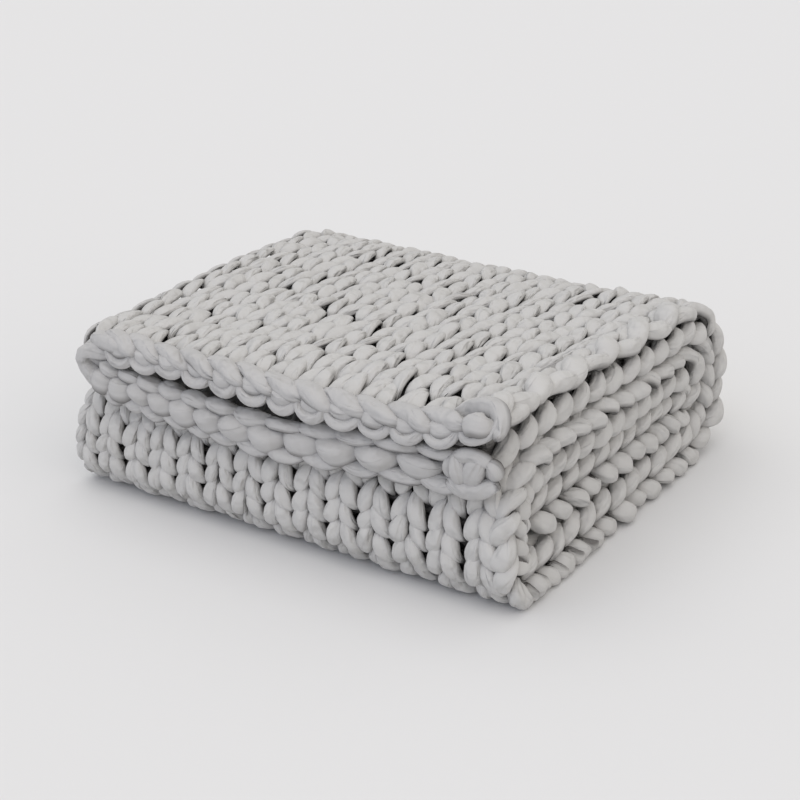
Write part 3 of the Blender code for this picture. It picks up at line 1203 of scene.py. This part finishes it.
@dataclass(frozen=True)
class Studio:
    """The pale floor, the soft light and the camera."""

    camera_at: tuple[float, float, float] = (0.9117, -1.4319, 0.8210)
    looking: tuple[float, float, float] = (-0.4960, 0.7697, -0.4019)
    lens: float = 76.7  # millimetres, for a picture 36 mm wide
    floor_half: float = 12.0
    floor_colour: str = "D8D8D8"
    room: float = 0.69  # the even light from all round
    lights_hung: tuple[SoftLight, ...] = (
        SoftLight("soft box overhead", 0.84, 66.0, (0.18, 0.18, -1.0), "FFFDFB"),
        SoftLight("pale wall in front", 0.63, 60.0, (0.10, 1.00, -0.55), "DEE6FF"),
        SoftLight("pale wall at the right", 0.62, 60.0, (-1.00, 0.35, -0.85), "FFF4EA"),
    )

    def floor(self) -> None:
        """Lay the floor."""
        # Matt painted board: the eye sees an even pale grey with no gloss at all.
        shape = bmesh.new()
        bmesh.ops.create_grid(shape, x_segments=1, y_segments=1, size=self.floor_half)
        mesh = bpy.data.meshes.new("floor")
        shape.to_mesh(mesh)
        shape.free()
        made = bpy.data.materials.new("matt pale floor")
        made.use_nodes = True
        shader = made.node_tree.nodes["Principled BSDF"]
        shader.inputs["Base Color"].default_value = linear(self.floor_colour)
        shader.inputs["Roughness"].default_value = 1.0
        shader.inputs["Specular IOR Level"].default_value = 0.0
        mesh.materials.append(made)
        floor = bpy.data.objects.new("floor", mesh)
        bpy.context.collection.objects.link(floor)

    def lights(self) -> None:
        """Hang the soft boxes and set the even light of the room."""
        world = bpy.data.worlds.new("room")
        bpy.context.scene.world = world
        world.use_nodes = True
        background = world.node_tree.nodes["Background"]
        background.inputs["Color"].default_value = (1.0, 1.0, 1.0, 1.0)
        background.inputs["Strength"].default_value = self.room
        for hung in self.lights_hung:
            light = bpy.data.lights.new(hung.name, "SUN")
            light.angle = math.radians(hung.spread)
            light.energy = hung.strength
            light.color = linear(hung.colour)[:3]
            lamp = bpy.data.objects.new(hung.name, light)
            lamp.rotation_euler = Vector(hung.shines).to_track_quat("-Z", "Y").to_euler()
            bpy.context.collection.objects.link(lamp)
        bpy.context.scene.view_settings.view_transform = "Standard"

    def camera(self) -> None:
        """Set up the camera where the photograph was taken."""
        data = bpy.data.cameras.new("camera")
        data.lens = self.lens
        data.sensor_width = 36.0
        camera = bpy.data.objects.new("camera", data)
        camera.location = self.camera_at
        camera.rotation_euler = Vector(self.looking).to_track_quat("-Z", "Y").to_euler()
        bpy.context.collection.objects.link(camera)
        bpy.context.scene.camera = camera


# ------------------------------------------------------------------------------------ the whole


TOP_END = 12  # the row at which the top turns down at the back
BACK_END = 20  # the row at which the back turns in underneath
UNDER_END = 30  # the row at which the underside turns up at the front
FRONT_END = 40  # the row at which the front turns in under the top


class Stretch(NamedTuple):
    """One stretch of the knit that is a piece of its own."""

    name: str
    first: int  # row
    end: int | None  # the row after its last, or None for the cloth's inner end
    outer: bool  # whether it is part of the outer half
    sides: int = 8  # of the yarn
    smoothing: int = 1  # how often its facets are divided to round them
    stitch: Stitch = Stitch(flat=0.94)
    uneven: Unevenness = Unevenness()


@dataclass(frozen=True)
class Knit:
    """The two halves of the cloth, stitch by stitch."""

    cloth: FoldedCloth
    finish: bpy.types.Material
    # On the top the knit is drawn open a little: its yarn lies flatter and less evenly, and
    # dark holes are left between the stitches.
    top: Stretch = Stretch(
        "top_of_blanket",
        0,
        TOP_END,
        True,
        stitch=Stitch(stagger=0.150, flat=0.61),
        uneven=Unevenness(stray=0.0020),
    )
    others: tuple[Stretch, ...] = (
        Stretch("back_of_blanket", TOP_END, BACK_END, True),
        Stretch("underside_of_blanket", BACK_END, UNDER_END, True, smoothing=0),
        Stretch("front_of_blanket", UNDER_END, FRONT_END, True),
        Stretch("inner_layers", FRONT_END, None, True, sides=6, smoothing=0),
        Stretch("lining_at_the_front", 0, 2, False),
        Stretch("lining_layers", 2, None, False, sides=6, smoothing=0),
    )

    def stretch(self, plan: Stretch) -> bpy.types.Object:
        """Knit one stretch.

        Args:
            plan: its rows, its half of the cloth and its yarn.

        Returns:
            The piece.
        """
        end = self.cloth.rows if plan.end is None else plan.end
        wales = (WALES - 1, 2 * WALES - 1) if plan.outer else (0, WALES - 1)
        piece = YarnPiece(plan.name, self.cloth, plan.sides, uneven=plan.uneven)
        piece.add(plan.stitch.rows(self.cloth, range(plan.first, end), wales))
        return piece.build(self.finish, plan.smoothing)

    def build(self) -> list[bpy.types.Object]:
        """Knit the whole cloth.

        Returns:
            Its pieces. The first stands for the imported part.
        """
        top = self.stretch(self.top)
        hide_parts("blanket")
        return [top] + [self.stretch(plan) for plan in self.others]


@dataclass(frozen=True)
class BoundOffEdge:
    """The edge along the front: a rope and hanging loops above, plump bulges below."""

    loops: EdgeLoops
    # Painted shade: the same yarn in a darker grey, so that the rim reads a shade greyer than the knit.
    yarn: JerseyYarn = JerseyYarn(
        "cotton jersey tube yarn, painted a shade darker", light="B6B5B4", shade="ACABAA"
    )
    first_link: float = WALES + 2.0  # the wale of the first link that isn't part of the fold
    lower_loops: int = 12
    lower_start: float = 12.9  # the wale of the lower loop next to the fold
    close_gap: float = 0.76  # from loop to loop there, wales
    wide_gap: float = 1.27  # from loop to loop next to the selvedge

    def lower_places(self) -> Array:
        """Space the lower edge's loops, crowded by the fold and spread by the selvedge.

        Returns:
            The wale of each loop, from the fold to the selvedge.
        """
        share = smooth(np.linspace(0, 1, self.lower_loops - 1))
        gaps = self.close_gap + (self.wide_gap - self.close_gap) * share
        return self.lower_start - np.concatenate([[0.0], np.cumsum(gaps)])

    def build(self) -> list[bpy.types.Object]:
        """Make the edge.

        Returns:
            Its one piece.
        """
        rim = YarnPiece("bound_off_edge", self.loops.cloth)
        upper = np.arange(self.first_link, 2 * WALES, 1.0)
        lower = self.lower_places()
        gaps = np.gradient(lower)
        between = lower + gaps / 2
        once = np.array([0.0])  # for the loops whose beads give the wale itself
        plan = (
            (CHAIN_LINK, upper, Facing.KNIT_FACE, 1.0),
            (EDGE_BLOB, upper, Facing.KNIT_FACE, 1.0),
            (EDGE_BAND, np.append(upper, 2.0 * WALES), Facing.ALONG, 1.0),
            (LOWER_LEAF, between, Facing.KNIT_FACE, gaps),
            (LOWER_BLOB, lower, Facing.KNIT_FACE, gaps),
            (LOWER_CHAIN, between, Facing.KNIT_FACE, gaps),
            (FOLD_LINK.beads(), once, Facing.KNIT_FACE, 1.0),
            (CORNER_KNOT, once, Facing.KNIT_FACE, 1.0),
        )
        for beads, places, facing, reach in plan:
            rim.add(self.loops.bound_off(beads, places, facing, reach))
        for curl in (FOLD_TURN, FOLD_HEART, CORNER_CURL, *END_RING, *END_HEART):
            rim.add(self.loops.bound_off(curl.beads(), once, Facing.ALONG))
        return [rim.build(self.yarn.material(), 1)]


@dataclass(frozen=True)
class Selvedge:
    """One half's selvedge at the right end, loop by loop from the front of the top inwards."""

    name: str
    loops: EdgeLoops
    finish: bpy.types.Material
    outer: bool  # whether it is the outer half's
    turns_early: int = 4  # rows by which the loops turn forward before the front bend
    forward: float = 0.8  # how much looking forward counts against looking up
    core_half: float = 0.010  # half the thickness of the yarn behind the loops
    core_in: float = 0.4  # how far in it lies, wales
    core_out: float = -0.004
    core_start: float = -0.3  # row
    core_step: float = 0.5  # from ring to ring, rows
    # painted shade on the strand behind the loops, 0 to 1
    core_shade: float = 0.65
    worn: Unevenness = Unevenness(stray=0.0028, swell=0.16)

    def faces_up(self, row: float) -> bool:
        """Tell whether the knit face looks up or forward at one row.

        Args:
            row: the row.

        Returns:
            True where it looks up or forward.
        """
        wale = np.array(2 * WALES - 1.0 if self.outer else 1.0)
        world, step = self.loops.cloth.world, Facing.KNIT_FACE.value[2]
        low, high = (world(wale, np.array(row), np.array(out)) for out in (0.0, step))
        away = high - low
        return bool(away[2] - self.forward * away[1] > 0)

    def core(self) -> Strands:
        """Lay the strand that runs behind the loops from end to end.

        Returns:
            The one strand.
        """
        row = np.arange(self.core_start, self.loops.cloth.rows, self.core_step)[None, :]
        ones = np.ones_like(row)
        wale = 2 * WALES - self.core_in if self.outer else self.core_in
        half = ones * self.core_half
        return Strands(ones * wale, row, ones * self.core_out, half, half, deep=self.core_shade)

    def build(self) -> list[bpy.types.Object]:
        """Make the selvedge.

        Returns:
            Its one piece.
        """
        side = YarnPiece(self.name, self.loops.cloth, uneven=self.worn)
        rows = np.arange(0.0, self.loops.cloth.rows + 1.0, 1.0)
        facing_up = np.array([self.faces_up(row) for row in rows])
        paired = facing_up & (rows < TOP_END)
        in_front = (rows >= UNDER_END - self.turns_early) & (rows < FRONT_END - self.turns_early)
        pairs = rows[paired & (rows % 2 == 0)]
        slanting = rows[(facing_up & ~paired) | in_front]
        plan = [(SELVEDGE_SLANT, slanting), (SELVEDGE_FINGER, rows[~facing_up])]
        if self.outer:
            plan.insert(0, (CORNER_LEAF, rows[:1]))
        if len(pairs):
            plan = [(SELVEDGE_KNOT, pairs), (SELVEDGE_LEAF, pairs)] + plan
        for beads, places in plan:
            facing = Facing.ACROSS if beads is SELVEDGE_FINGER else Facing.KNIT_FACE
            side.add(self.loops.selvedge(beads, places, self.outer, facing))
        side.add(self.core())
        return [side.build(self.finish, 1)]


def main() -> None:
    """Build the blanket, the studio and the camera."""
    finish = JerseyYarn().material()
    cloth = FoldedCloth()
    LOG.info("path %.3f m, %d rows", cloth.length, cloth.rows)
    loops = EdgeLoops(cloth)
    assemblies = (
        Knit(cloth, finish),
        BoundOffEdge(loops),
        Selvedge("outer_selvedge", loops, finish, True),
        Selvedge("inner_selvedge", loops, finish, False),
    )
    for assembly in assemblies:
        for piece in assembly.build():
            LOG.info("%s: %d faces before smoothing", piece.name, len(piece.data.polygons))
    studio = Studio()
    studio.floor()
    studio.lights()
    studio.camera()


if __name__ == "__main__":
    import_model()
    main()
